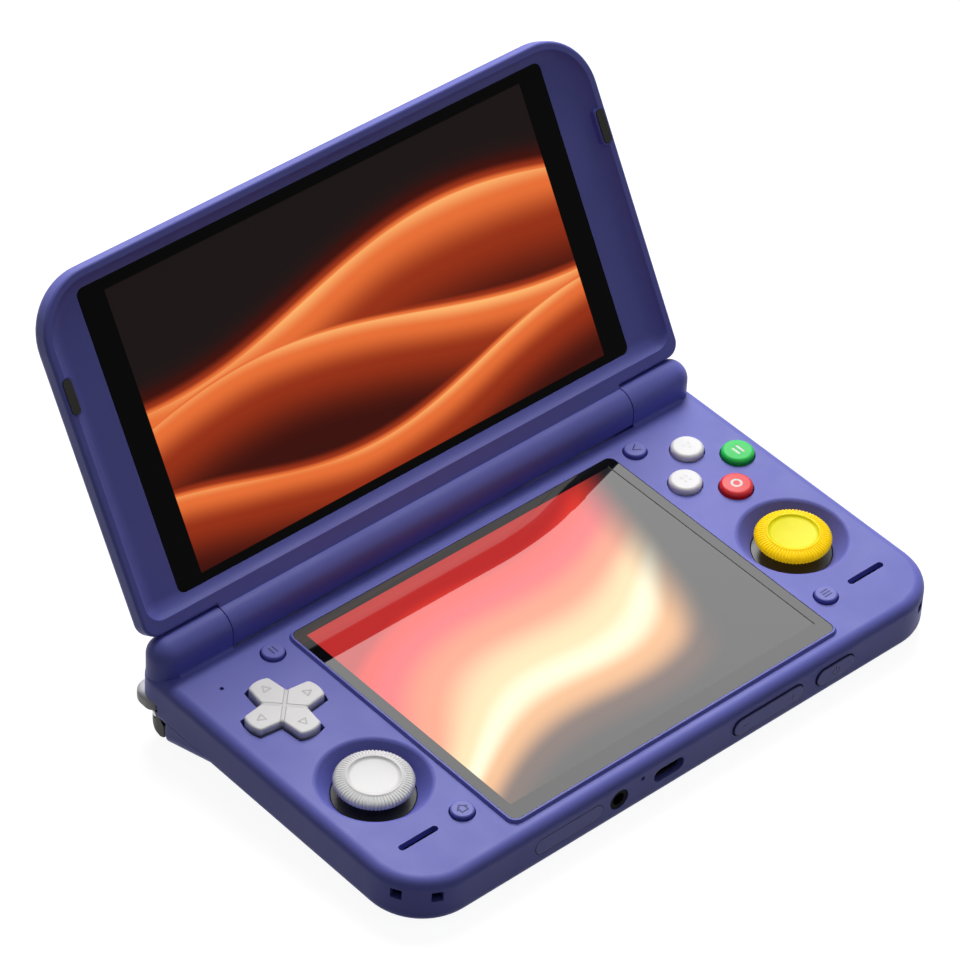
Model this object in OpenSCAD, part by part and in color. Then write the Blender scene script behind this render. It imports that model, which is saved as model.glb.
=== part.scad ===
// Clamshell handheld game console with two screens: a base with sticks, buttons, triggers and
// ports, and a lid on a barrel hinge, standing open.
// Frame: X to the right, Y to the back, Z up. The origin is the middle of the flat underside.

/* [Body] */
// Width of the base and of the lid
body_w = 179.4; // [172:0.1:216]
// Depth of the base, front wall to rear wall
base_d = 106.4; // [104:0.5:130]
// Height of the base from its flat underside to the deck
base_h = 13.2; // [12.6:0.1:16]
// Radius of the body corners seen from above
corner_r = 16; // [13:0.5:20]
// Radius of the rear corners of the base
rear_corner_r = 7; // [6:0.5:8]
// Rounding between the deck and the walls
deck_round = 2.9; // [2:0.1:4]
// Rounding between the walls and the underside
under_round = 2.4; // [1.5:0.1:2.9]
// Wall and deck thickness of the mouldings
wall_t = 2; // [1.6:0.1:2.2]
// Height of the seam between the two base shells over the underside
seam_h = 3; // [2.9:0.1:3.2]

/* [Hinge and lid] */
// Opening angle between the deck and the lid
open_angle = 120; // [100:1:150]
// Distance from the hinge axis to the rear wall
hinge_inset = 6.3; // [6:0.1:8]
// Height of the hinge axis over the deck
hinge_z = 4.2; // [4.1:0.1:5]
// Radius of the hinge barrel and of the two knuckles
barrel_r = 5.1; // [4.8:0.1:5.2]
// Length of the barrel between the knuckles
barrel_len = 134.2; // [120:0.2:140]
// Radius of the steel hinge shafts
shaft_r = 1.6; // [1.2:0.1:2]
// Height of the lid rim over the lid screen
rim_h = 2.6; // [2.4:0.1:3]
// Thickness of the lid behind the front of its screen
lid_back_t = 3.8; // [3.8:0.1:5]
// Set-back of the closed lid from the front wall
lid_front_inset = 1.9; // [1:0.1:3]
// Width of the lid rim at its top
rim_w = 1.5; // [1.4:0.1:1.8]
// Gap between the lid rim and the deck when closed
closed_gap = 2; // [1.8:0.1:2.4]

/* [Screens] */
// Width of the lower cover glass
lower_glass_w = 107.6; // [100:0.1:110]
// Depth of the lower cover glass
lower_glass_d = 83.8; // [70:0.1:85]
// Distance from the front wall to the lower glass
lower_glass_y = 5.3; // [4.8:0.1:8]
// Width of the upper cover glass
upper_glass_w = 150; // [140:0.1:154]
// Height of the upper cover glass
upper_glass_d = 81.3; // [70:0.1:82]
// Distance from the hinge axis to the upper glass
upper_glass_y = 11.6; // [11.4:0.1:14]
// Thickness of each cover glass
glass_t = 1; // [0.7:0.1:1.2]
// Thickness of each display panel
panel_t = 1.4; // [1.2:0.1:1.8]
// Width of the glass border hidden in front of the panel edge
glass_border = 1.9; // [1.5:0.1:3]
// Height of the raised lip round the lower glass
lip_h = 0.9; // [0.5:0.1:1.1]

/* [Controls] */
// Distance from the front wall to the stick centres
stick_y = 37.7; // [34:0.1:42]
// Distance from the front wall to the centres of the direction pad and the face buttons
pad_y = 69.7; // [67:0.1:74]
// Shift of the sticks from the middle of the control column towards the screen
stick_shift = 1.5; // [0:0.1:2]
// Radius of the stick wells at the deck
well_r = 14.3; // [13.8:0.1:15]
// Depth of the stick wells
well_depth = 4.6; // [4.4:0.1:4.8]
// Radius of the stick caps
stick_cap_r = 10.1; // [9:0.05:10.3]
// Radius of the face buttons
face_r = 4.4; // [4:0.1:4.7]
// Distance from the middle of the cluster to each face button
face_pitch = 9.3; // [9.2:0.1:10.5]
// Length of a direction pad arm from the middle
pad_arm = 11; // [10:0.1:12]
// Radius of the system buttons
system_r = 3; // [2.6:0.1:3.3]
// Distance from the edge of the lower glass to the system buttons
system_inset = 7.1; // [6.8:0.1:8]
// Distance from the front wall to the two front system buttons
system_front_y = 16.1; // [14:0.1:18]
// Distance from the front wall to the two rear system buttons
system_rear_y = 87.2; // [85:0.1:88]
// Length of a speaker slot
slot_len = 12; // [8:0.1:14]
// Distance from the front wall to the speaker slots
slot_y = 16; // [14:0.1:17]

/* [Front wall] */
// Length of the power button
power_len = 12.8; // [10:0.1:14]
// Distance from the middle to the power button
power_x = 49.1; // [46:0.1:52]
// Length of the volume rocker
volume_len = 23.6; // [20:0.1:25]
// Distance from the middle to the volume rocker
volume_x = 26; // [24:0.1:28]
// Height of the front buttons and of the card door
key_h = 5; // [4.4:0.1:5.2]
// Length of the card door
door_len = 22; // [18:0.1:23]
// Distance from the middle to the card door
door_x = 40.3; // [38:0.1:42]
// Distance from the middle to the headphone socket
jack_x = 24; // [23:0.1:26]
// Radius of the headphone socket bore
jack_bore_r = 1.8; // [1.8:0.01:1.85]
// Distance from the middle to the USB socket
usb_x = 7.5; // [4:0.1:9]

/* [Shoulders] */
// Width of the bumpers and triggers along the rear wall
shoulder_w = 31; // [26:0.5:33]
// Depth of the bumpers
bumper_d = 8.7; // [7.5:0.1:9]
// Height of the bumpers
bumper_h = 4; // [3.8:0.1:4.4]
// Height of the grips under the underside
grip_h = 6; // [5:0.1:7]
// Width of a grip
grip_w = 40; // [34:0.5:44]

/* [Hidden] */
$fn = 48;

// Gap between pieces that press together when assembled
fit_gap = 0.12;
// Gap round keys that move through a wall
key_gap = 0.35;
// Radial clearance of a shaft that turns in its bore
running_gap = 0.05;
half_w = body_w / 2;
hinge_y = base_d - hinge_inset;
deck_under = -wall_t;
floor_z = -base_h + 1.8;
seam_z = seam_h - base_h;
inner_top = deck_under - 0.3;

// Barrel, knuckles and trough
skirt_drop = hinge_z - 0.15;
skirt_round = 0.8;
barrel_half = barrel_len / 2;
barrel_gap = 0.3;
trough_r = norm([barrel_r, skirt_drop]) + 0.3;
knuckle_end = half_w - 0.4;
knuckle_round = 4.9;
foot_round = 1.0;
knuckle_seam = foot_round + 0.05;

// Lid, in its own frame: Y up the lid from the hinge axis, Z out of the screen
lid_y0 = barrel_r + 0.4;
lid_len = hinge_y - lid_front_inset;
lid_rim_z = hinge_z - closed_gap;
lid_face_z = lid_rim_z - rim_h;
lid_back_z = lid_face_z - lid_back_t;
lid_seam_z = lid_face_z - 0.7;
lid_half = half_w - 0.6;
lid_w = 2 * lid_half;
lid_corner_r = 16.4;
lid_back_round = 2.9;
lid_rim_round = 0.8;
lid_near_r = 4;
rim_near_w = 2.7;
rim_fillet = 5;
pad_len = 9;
pad_w = 2.4;
pad_at = 70.3;
pad_x_lid = lid_half - 2.2;
pad_corner = 0.9;
pad_proud = 0.3;
lid_skin = lid_back_t - glass_t - panel_t - 0.2;
cover_wall = 1.6;

// Lower screen
lip_w = 0.6;
lip_foot = 0.5;
lower_face_z = lip_h - 0.1;
lower_glass_z = lower_face_z - glass_t;
glass_corner = 2;

// Control columns
column_x = (lower_glass_w / 2 + half_w) / 2;
stick_x = column_x - stick_shift;
system_x = lower_glass_w / 2 + system_inset;
slot_x = column_x + 3.1;
slot_w = 1.9;
well_floor_r = well_r - 3.6;
well_wall = 1.2;
well_round = 1.5;
well_run = well_r - well_floor_r;
well_slant = norm([well_run, well_depth]);
well_touch = (well_round - well_round * well_run / well_slant) * well_slant / well_depth;
well_edge_r = well_r + well_round * well_depth / well_slant - well_touch * well_run / well_slant;

// Sticks
pivot_z = floor_z + 2.6;
housing_r = well_floor_r - 0.3;
housing_top = -well_depth - 0.3;
dome_r = 6.4;
dome_t = 0.8;
dome_rim = 2.2;
gate_r = 6.1;
yoke_r = 5.2;
yoke_inner_r = 3.6;
yoke_h = 1.8;
stub_r = 0.8;
post_r = 1.8;
cap_top = 1.5;
cap_h = 3.2;
cap_round = 1.55;
click_travel = 0.3;

// Direction pad and buttons
key_flange = 0.8;
key_flange_h = 0.8;
board_z = -8;
board_t = 1;
pad_pivot_z = -6;
pad_top = 1.9;
pad_root_half = 4.05;
pad_tip_half = 3.35;
pad_gap = 0.6;
pad_flange_top = -3;
pin_r = 0.7;
ear_at = 2.3;
ear_t = 1.2;
ear_w = 2.6;
face_top = 1.7;
face_travel = 1.2;
face_foot = -3.6;
system_top = 1.1;
system_foot = -5.2;
system_travel = 0.5;

// Front wall
port_z = -base_h / 2;
key_proud = 0.4;
key_flange_t = 0.8;
rocker_gap = 0.5;
door_t = 1.5;
door_leg_x = 9.2;
door_leg_y = 8.5;
jack_r = 2.85;
jack_len = 13;
usb_w = 9.2;
usb_h = 3.3;
strap_hole = 3;
strap_turn = 18.2;
strap_z = port_z + 1.8;
pinhole_r = 0.6;
usb_recess = 1.5;

// Shoulders
pocket_x = half_w - shoulder_w - 0.5;
pocket_rise = 5.1;
pocket_top = pocket_rise - base_h;
pocket_y = base_d - 9.4;
trigger_pocket_y = base_d - 12;
bumper_y = pocket_y + 1.8;
bumper_z0 = pocket_top - 0.3 - bumper_h;
trigger_hub_r = 1.8;
trigger_hub_y = base_d - 6;
trigger_hub_z = bumper_z0 - 0.4 - trigger_hub_r;
trigger_len = shoulder_w - 4;
trigger_end = half_w - 1.5;
shoulder_pin_r = 0.9;
grip_y0 = 74.5;
grip_rise = 19;
grip_round = 3.4;
grip_y1 = trigger_pocket_y;
lug_x = pocket_x - 4;
lug_y = bumper_y + 2.4;
lug_z0 = floor_z + 0.35;

screw_at = [[half_w - 5.8, 23], [half_w - 5.3, 54], [lower_glass_w / 2 + 0.6, 89.5]];
boss_r = 2.2;
screw_r = 1.1;
head_r = 2;
head_h = 1.2;
foot_t = 1.2;

// Fan
fan_x = 28;
fan_y = 73;
fan_r = 12;
fan_h = 5.4;

// Colours
indigo = "#5c5caa";
dark_part = "#26262b";

// ---- Shapes that repeat ----

// Places a piece that is drawn from the front wall and the deck into the part's frame
module in_frame() {
  translate([0, -base_d / 2, base_h]) children();
}

// Places a piece that is drawn in the lid's own frame
module on_lid() {
  in_frame() translate([0, hinge_y, hinge_z]) rotate([180 - open_angle, 0, 0]) children();
}

// Both sides of the body
module both_sides() {
  children();
  mirror([1, 0, 0]) children();
}

// Chooses a side: -1 is the left, 1 the right
module on_side(side) {
  mirror([side < 0 ? 1 : 0, 0, 0]) children();
}

// Section through an edge: a block that reaches outwards, rounded above and below
module edge_profile(reach, h, r_top, r_bottom) {
  intersection() {
    square([reach, h]);
    union() {
      difference() {
        square([reach, h]);
        if (r_top > 0) translate([reach - r_top, h - r_top]) square(r_top + 1);
        if (r_bottom > 0) translate([reach - r_bottom, -1]) square([r_bottom + 1, r_bottom + 1]);
      }
      if (r_top > 0) translate([reach - r_top, h - r_top]) circle(r_top);
      if (r_bottom > 0) translate([reach - r_bottom, r_bottom]) circle(r_bottom);
    }
  }
}

// Slab from y = 0 to d with its own front and back corner radii and rounded edges
module soft_slab(w, d, h, r_front, r_back, r_top = 0, r_bottom = 0) {
  reach = max(r_front, r_back);
  for (end = [0, 1]) {
    r = end == 0 ? r_front : r_back;
    corner_y = end == 0 ? r_front : d - r_back;
    both_sides() translate([w / 2 - r, corner_y, 0]) rotate_extrude() edge_profile(r, h, r_top, r_bottom);
    translate([0, end * d, 0]) mirror([0, end, 0]) translate([r - w / 2, r, 0])
      rotate([90, 0, 90]) mirror([1, 0, 0]) linear_extrude(w - 2 * r) edge_profile(r, h, r_top, r_bottom);
  }
  both_sides() translate([w / 2 - reach, r_front, 0]) rotate([90, 0, 0]) mirror([0, 0, 1])
    linear_extrude(d - r_front - r_back) edge_profile(reach, h, r_top, r_bottom);
  translate([reach - w / 2, r_front, 0]) cube([w - 2 * reach, d - r_front - r_back, h]);
}

// Flat outline with rounded corners, from y = 0 to d
module round_rect(w, d, r) {
  translate([r - w / 2, 0]) square([w - 2 * r, d]);
  translate([-w / 2, r]) square([w, d - 2 * r]);
  for (x = [r - w / 2, w / 2 - r], y = [r, d - r]) translate([x, y]) circle(r);
}

// Pill outline, centred
module pill(length, height) {
  square([length - height, height], center = true);
  for (side = [-1, 1]) translate([side * (length - height) / 2, 0]) circle(height / 2);
}

// Pill on the front wall, going inwards from y = 0
module wall_pill(x, length, height, depth) {
  translate([x, 0, port_z]) rotate([90, 0, 0]) mirror([0, 0, 1]) linear_extrude(depth) pill(length, height);
}

// Rod along X between two ends
module rod_x(r, x0, x1, y, z) {
  translate([x0, y, z]) rotate([0, 90, 0]) cylinder(r = r, h = x1 - x0);
}

// Rod along Y between two ends
module rod_y(r, y0, y1, x, z) {
  translate([x, y0, z]) rotate([-90, 0, 0]) cylinder(r = r, h = y1 - y0);
}

// Section of the barrel and knuckles: round above, straight down at the front
module barrel_profile() {
  circle(barrel_r);
  difference() {
    translate([-barrel_r, -skirt_drop]) square([barrel_r, skirt_drop]);
    translate([-barrel_r - 1, -skirt_drop - 1]) square([skirt_round + 1, skirt_round + 1]);
  }
  translate([skirt_round - barrel_r, skirt_round - skirt_drop]) circle(skirt_round);
}

// Extrudes a section drawn in Y and Z along X
module along_x(x0, x1) {
  translate([x0, 0, 0]) rotate([90, 0, 90]) linear_extrude(x1 - x0) children();
}

// Outline of one direction pad arm towards +Y, grown by a margin
module pad_arm_outline(margin) {
  tip = pad_arm + margin;
  root = pad_root_half + margin;
  side = pad_tip_half + margin;
  bulge = 0.9;
  bow = (side * side + bulge * bulge) / (2 * bulge);
  polygon([[0, -1], [root, root - 0.4], [side, tip - bulge], [-side, tip - bulge], [-root, root - 0.4]]);
  intersection() {
    translate([0, tip - bow]) circle(bow, $fn = 96);
    translate([-side, tip - bulge - 1]) square([2 * side, bulge + 2]);
  }
}

// Outline of the whole direction pad, grown by a margin
module pad_outline(margin) {
  for (turn = [0:90:270]) rotate(turn) pad_arm_outline(margin);
}

// ---- Base ----

module knuckle() {
  x0 = barrel_half + barrel_gap;
  reach = knuckle_end - x0;
  translate([x0, hinge_y, hinge_z]) rotate([0, 90, 0])
    rotate_extrude() edge_profile(barrel_r, reach, knuckle_round, 0);
  translate([x0, hinge_y - barrel_r, -deck_round - 2]) linear_extrude(hinge_z + deck_round + 2)
    edge_profile(reach, 2 * barrel_r, knuckle_round, knuckle_round);
  along_x(x0, knuckle_end - knuckle_round) difference() {
    translate([hinge_y - barrel_r - foot_round, -1]) square(foot_round + 1);
    translate([hinge_y - barrel_r - foot_round, foot_round]) circle(foot_round);
  }
}

module shoulder_pocket() {
  translate([pocket_x, pocket_y, bumper_z0 - 0.4])
    cube([shoulder_w + 10, 30, pocket_top - bumper_z0 + 0.4]);
  translate([pocket_x, trigger_pocket_y, -base_h - grip_h - 2])
    cube([shoulder_w + 10, 30, base_h + grip_h + 2 + bumper_z0 - 0.3]);
}

module front_cuts() {
  wall_pill(volume_x, volume_len + 2 * key_gap, key_h + 2 * key_gap, 3 * wall_t);
  wall_pill(power_x, power_len + 2 * key_gap, key_h + 2 * key_gap, 3 * wall_t);
  wall_pill(-door_x, door_len + 2 * fit_gap, key_h + 2 * fit_gap, 3 * wall_t);
  wall_pill(-usb_x, usb_w + 0.8, usb_h + 0.8, 3 * wall_t);
  rod_y(jack_r + fit_gap, -1, 3 * wall_t, -jack_x, port_z);
  rod_y(pinhole_r, -1, 3 * wall_t, -(jack_x + usb_x) / 2 - 0.6, port_z + 2.4);
  both_sides() for (turn = [-strap_turn, strap_turn])
    translate([half_w - corner_r, corner_r, strap_z]) rotate([0, 0, turn - 45])
      translate([corner_r - wall_t - 1, -strap_hole / 2, -strap_hole / 2])
        cube([wall_t + 4, strap_hole, strap_hole]);
}

// Cut that rounds the edge between the deck and a stick well
module well_edge() {
  inner = well_r - well_round;
  touch_r = well_r - well_touch * well_run / well_slant;
  touch_z = -well_touch * well_depth / well_slant;
  rotate_extrude() difference() {
    polygon([[inner, 0.6], [well_edge_r, 0.6], [well_edge_r, -0.01], [touch_r, touch_z], [inner, touch_z]]);
    translate([well_edge_r, -well_round]) circle(well_round);
  }
}

module control_cuts() {
  translate([-column_x, pad_y, -9]) linear_extrude(12) pad_outline(pad_gap);
  for (turn = [0:90:270]) translate([column_x, pad_y, -9]) rotate(turn) translate([face_pitch, 0, 0])
    cylinder(r = face_r + key_gap, h = 12);
  both_sides() {
    for (y = [system_front_y, system_rear_y]) translate([system_x, y, -9]) cylinder(r = system_r + key_gap, h = 12);
    translate([slot_x, slot_y, -5]) linear_extrude(8) pill(slot_len, slot_w);
    translate([stick_x, stick_y, -well_depth]) {
      cylinder(r1 = well_floor_r, r2 = well_r, h = well_depth);
      translate([0, 0, -5]) cylinder(r = well_floor_r, h = 6);
      translate([0, 0, well_depth]) well_edge();
    }
  }
  translate([-column_x - 7, pad_y + 15.6, -5]) cylinder(r = 0.55, h = 8);
}

// Raised lip round the lower glass, with sloping sides
module screen_lip() {
  width = lower_glass_w + 2 * lip_w;
  depth = lower_glass_d + 2 * lip_w;
  r = glass_corner + lip_w;
  slope = [[-r, -0.5], [lip_foot, -0.5], [lip_foot, 0], [0, lip_h], [-r, lip_h]];
  translate([0, lower_glass_y - lip_w, 0]) {
    for (y = [r, depth - r]) both_sides() translate([width / 2 - r, y, 0])
      rotate_extrude() polygon([[0, -0.5], [r + lip_foot, -0.5], [r + lip_foot, 0], [r, lip_h], [0, lip_h]]);
    both_sides() translate([width / 2, depth - r, 0]) rotate([90, 0, 0]) linear_extrude(depth - 2 * r) polygon(slope);
    translate([r - width / 2, depth, 0]) rotate([90, 0, 90]) linear_extrude(width - 2 * r) polygon(slope);
    translate([width / 2 - r, 0, 0]) rotate([90, 0, -90]) linear_extrude(width - 2 * r) polygon(slope);
    translate([r - width / 2, r, -0.5]) cube([width - 2 * r, depth - 2 * r, lip_h + 0.5]);
  }
}

// Holes for one hinge shaft and for the ribbon that leaves it
module shaft_hole() {
  rod_x(shaft_r, barrel_half - 1, barrel_half + barrel_gap + 11, hinge_y, hinge_z);
  rod_x(3, barrel_half + barrel_gap + 10, barrel_half + barrel_gap + 14, hinge_y, hinge_z);
}

module base_top_shell() {
  shell_h = -seam_z;
  trough_wall = 1.2;
  color(indigo) in_frame() difference() {
    union() {
      difference() {
        translate([0, 0, seam_z])
          soft_slab(body_w, base_d, shell_h, corner_r, rear_corner_r, deck_round, 0);
        translate([0, wall_t, seam_z - 1])
          soft_slab(body_w - 2 * wall_t, base_d - 2 * wall_t, shell_h + 1 - wall_t,
                    corner_r - wall_t, rear_corner_r - wall_t, max(deck_round - wall_t, 0.4), 0);
      }
      translate([0, lower_glass_y - lip_w, deck_under])
        soft_slab(lower_glass_w + 2 * lip_w, lower_glass_d + 2 * lip_w, -deck_under, glass_corner + lip_w,
                  glass_corner + lip_w, 0, 0);
      screen_lip();
      both_sides() {
        knuckle();
        translate([stick_x, stick_y, -well_depth - well_wall])
          cylinder(r1 = well_floor_r + well_wall, r2 = well_r + well_wall, h = well_depth + well_wall - 1);
        for (p = screw_at) translate([p[0], p[1], seam_z + fit_gap]) cylinder(r = boss_r, h = -seam_z - 1);
        translate([pocket_x - 1.2, pocket_y - 1.2, seam_z])
          cube([shoulder_w, 1.2, -seam_z - 1]);
        translate([pocket_x - 1.2, pocket_y - 1.2, seam_z]) cube([1.2, 9.2, -seam_z - 1]);
        translate([lug_x, lug_y, pocket_top]) cylinder(r = boss_r, h = -pocket_top - 1);
      }
      intersection() {
        rod_x(trough_r + trough_wall, -barrel_half - 1.5, barrel_half + 1.5, hinge_y, hinge_z);
        translate([-half_w, hinge_y - 12, -12]) cube([body_w, base_d - hinge_y + 11, 11.5]);
      }
    }
    rod_x(trough_r, -barrel_half - barrel_gap, barrel_half + barrel_gap, hinge_y, hinge_z);
    translate([-barrel_half - barrel_gap, hinge_y, -1.2]) cube([barrel_len + 2 * barrel_gap, 20, 12]);
    translate([0, lower_glass_y - fit_gap, lower_glass_z]) linear_extrude(6)
      round_rect(lower_glass_w + 2 * fit_gap, lower_glass_d + 2 * fit_gap, glass_corner + fit_gap);
    translate([0, lower_glass_y + glass_border - 0.2, -6]) linear_extrude(8)
      round_rect(lower_glass_w - 2 * glass_border + 0.4, lower_glass_d - 2 * glass_border + 0.4, 1);
    front_cuts();
    control_cuts();
    translate([-half_w - 1, hinge_y - barrel_r - 0.5, knuckle_seam]) cube([body_w + 2, base_d, hinge_z + barrel_r]);
    both_sides() {
      shoulder_pocket();
      shaft_hole();
      for (p = screw_at) translate([p[0], p[1], seam_z - 1]) cylinder(r = screw_r, h = 6);
      translate([lug_x - 3, lug_y - 3, bumper_z0 - 1]) cube([pocket_x - lug_x + 3.1, 6, bumper_h + 1]);
    }
  }
}

// Both knuckles above their feet, seated flat on the deck's moulding
module knuckle_tops() {
  below = deck_round + 4;
  color(indigo) in_frame() both_sides() difference() {
    knuckle();
    translate([0, 0, knuckle_seam - below]) cube([body_w, base_d + 10, below]);
    shaft_hole();
  }
}

// Swelling under one rear corner, cut by a slope that rises to the flat underside
module grip(inset) {
  slope = atan(grip_h / grip_rise);
  width = grip_w - 2 * inset;
  reach = 60;
  intersection() {
    translate([half_w - grip_w / 2, 0, -base_h - grip_h + inset])
      soft_slab(width, grip_y1 - inset, grip_h + base_h, 4, 1.2, 0, grip_round);
    translate([half_w - grip_w / 2, grip_y0, inset - base_h]) rotate([-slope, 0, 0]) translate([0, -10, 0])
      soft_slab(width, reach, base_h + grip_h, 4, 4, 0, grip_round);
  }
}

module base_bottom_shell() {
  color("#45457f") in_frame() difference() {
    union() {
      difference() {
        translate([0, 0, -base_h])
          soft_slab(body_w, base_d, seam_h, corner_r, rear_corner_r, 0, under_round);
        translate([0, wall_t, floor_z])
          soft_slab(body_w - 2 * wall_t, base_d - 2 * wall_t, seam_h, corner_r - wall_t, rear_corner_r - wall_t, 0, 0);
      }
      both_sides() difference() {
        grip(0);
        translate([half_w - grip_w, 0, floor_z]) cube([grip_w, base_d, base_h]);
      }
      both_sides() for (y = [54.5, 88]) translate([46, y, floor_z - 0.5]) cylinder(r = 2, h = 7.5);
    }
    both_sides() {
      difference() {
        grip(1.8);
        translate([half_w - grip_w, 0, floor_z]) cube([grip_w, base_d, base_h]);
      }
      shoulder_pocket();
      for (p = screw_at) translate([p[0], p[1], -base_h - 1]) {
        cylinder(r = head_r + 0.1, h = 1 + head_h);
        cylinder(r = screw_r + 0.15, h = 5);
      }
    }
    for (i = [-5:5]) translate([i * 5, 66, -base_h - 1]) linear_extrude(4) rotate(90) pill(14, 1.8);
  }
}

module base_screws() {
  color("#3a3a3e") in_frame() both_sides() for (p = screw_at) translate([p[0], p[1], -base_h]) {
    difference() {
      cylinder(r = head_r, h = head_h);
      translate([0, 0, -0.1]) for (turn = [0, 90]) rotate(turn) translate([-1.2, -0.25, 0]) cube([2.4, 0.5, 0.7]);
    }
    cylinder(r = screw_r, h = 6);
  }
}

module rubber_feet() {
  color("#1c1c1e") in_frame() both_sides() {
    translate([62, 11, -base_h - foot_t]) rotate_extrude() edge_profile(5, foot_t, 0, 0.5);
    translate([half_w - grip_w / 2, grip_y1 - 8, -base_h - grip_h - foot_t])
      soft_slab(16, 6, foot_t, 2.9, 2.9, 0, 0.5);
  }
}

// ---- Lower screen and inner pieces ----

module lower_glass() {
  color("#8a8a8c") in_frame() translate([0, lower_glass_y, lower_glass_z])
    linear_extrude(glass_t) round_rect(lower_glass_w, lower_glass_d, glass_corner);
}

module lower_display() {
  color("#15151a") in_frame() translate([0, lower_glass_y + glass_border, lower_glass_z - panel_t])
    linear_extrude(panel_t) round_rect(lower_glass_w - 2 * glass_border, lower_glass_d - 2 * glass_border, 0.8);
}

module main_board() {
  color("#1f4d35") in_frame() {
    translate([-50, 52, -4.2]) cube([100, 38, board_t]);
    for (x = [-34, -18, 24]) translate([x, 64, -3.2]) cube([10, 10, 0.8]);
  }
}

module heat_sink() {
  fin_pitch = 3;
  color("#b8b8bd") in_frame() {
    translate([-40, 60, -5.4]) cube([50, 26, 1.2]);
    for (i = [0:16]) translate([-39.5 + i * fin_pitch, 60, -8.9]) cube([0.8, 26, 3.6]);
  }
}

module fan_housing() {
  color(dark_part) in_frame() translate([fan_x, fan_y, floor_z]) {
    difference() {
      translate([-14, -14, 0]) cube([28, 28, fan_h]);
      translate([0, 0, 0.8]) cylinder(r = fan_r + 0.6, h = fan_h - 1.6);
      cylinder(r = 8, h = 20);
      translate([-10, 0, 0.8]) cube([20, 20, fan_h - 1.6]);
    }
    translate([-1.5, -14, 0]) cube([3, 28, 0.8]);
    cylinder(r = shoulder_pin_r, h = fan_h - 1);
  }
}

module fan_rotor() {
  color("#303036") in_frame() translate([fan_x, fan_y, floor_z + 1.1]) difference() {
    union() {
      cylinder(r = 4, h = 3);
      for (turn = [0:30:330]) rotate(turn) translate([3.5, -0.4, 0]) cube([fan_r - 3.7, 0.8, 3]);
    }
    translate([0, 0, -1]) cylinder(r = shoulder_pin_r + running_gap, h = 6);
  }
}

module battery() {
  color("#2b2f38") in_frame() translate([0, 19, floor_z]) soft_slab(96, 31, 5.4, 2, 2, 1, 1);
}

module port_board() {
  color("#1f4d35") in_frame() translate([-53, 3, port_z - 3.9]) cube([53, 13, board_t]);
}

module headphone_socket() {
  color(dark_part) in_frame() difference() {
    union() {
      rod_y(jack_r, 0.3, jack_len, -jack_x, port_z);
      translate([-jack_x - 3.1, wall_t + 0.2, port_z - 2.9]) cube([6.2, jack_len - wall_t - 0.2, 5.6]);
    }
    rod_y(jack_bore_r, -1, jack_len - 1, -jack_x, port_z);
  }
}

module usb_socket() {
  shell_t = 0.3;
  color("#a9a9ae") in_frame() {
    difference() {
      translate([0, usb_recess, 0]) wall_pill(-usb_x, usb_w, usb_h, 8);
      translate([0, -1, 0]) wall_pill(-usb_x, usb_w - 2 * shell_t, usb_h - 2 * shell_t, usb_recess + 8.4);
    }
    translate([-usb_x - 3, usb_recess + 1.4, port_z - 0.35]) cube([6, 6.6, 0.7]);
    translate([-usb_x - 3.6, 3.4, port_z - 2.9]) cube([7.2, 5, 1.3]);
  }
}

module card_reader() {
  color("#a9a9ae") in_frame() difference() {
    translate([-door_x - 7, 3, port_z - 2.9]) cube([14, 13, 3.8]);
    translate([-door_x - 5.6, 2, port_z - 0.6]) cube([11.2, 12, 0.9]);
  }
}

// Cover of the card slot: it pulls out on two legs, whose hooks stop behind the wall
module card_door() {
  color(indigo) in_frame() {
    wall_pill(-door_x, door_len, key_h, door_t);
    for (side = [-1, 1]) translate([-door_x + side * (door_leg_x + 0.5) - 0.5, 0, port_z - 1]) {
      translate([0, door_t - 0.5, 0]) cube([1, door_leg_y - door_t + 0.5, 2]);
      translate([0, door_leg_y - 1, 0]) cube([1, 1, key_h / 2 + 1.7]);
    }
  }
}

module speaker(side) {
  color(dark_part) in_frame() on_side(side) translate([slot_x, slot_y - 4.5, inner_top - 4.5]) difference() {
    soft_slab(14, 9, 4.5, 1.5, 1.5, 0, 0);
    translate([0, 4.5, 3.7]) cylinder(r = 3.4, h = 2);
  }
}

// ---- Sticks ----

module stick_housing(side) {
  color("#1b1b1d") in_frame() on_side(side) translate([stick_x, stick_y, 0]) difference() {
    union() {
      translate([0, 0, floor_z]) cylinder(r = housing_r, h = housing_top - floor_z);
      translate([0, 0, housing_top]) cylinder(r1 = housing_r, r2 = gate_r + 0.6, h = 0.8);
    }
    translate([0, 0, floor_z + 0.8]) cylinder(r = housing_r - 1.2, h = housing_top - floor_z - 1.8);
    translate([0, 0, floor_z + 2]) cylinder(r = gate_r, h = 20);
    rod_x(stub_r + running_gap, -housing_r + 0.5, housing_r - 0.5, 0, pivot_z);
  }
}

module stick_yoke(side) {
  color("#707076") in_frame() on_side(side) translate([stick_x, stick_y, pivot_z]) difference() {
    union() {
      translate([0, 0, -yoke_h / 2]) cylinder(r = yoke_r, h = yoke_h);
      rod_x(stub_r, -housing_r + 0.7, housing_r - 0.7, 0, 0);
    }
    translate([0, 0, -yoke_h]) cylinder(r = yoke_inner_r, h = 2 * yoke_h);
    rod_y(stub_r + running_gap, -yoke_r - 1, yoke_r + 1, 0, 0);
  }
}

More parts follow.
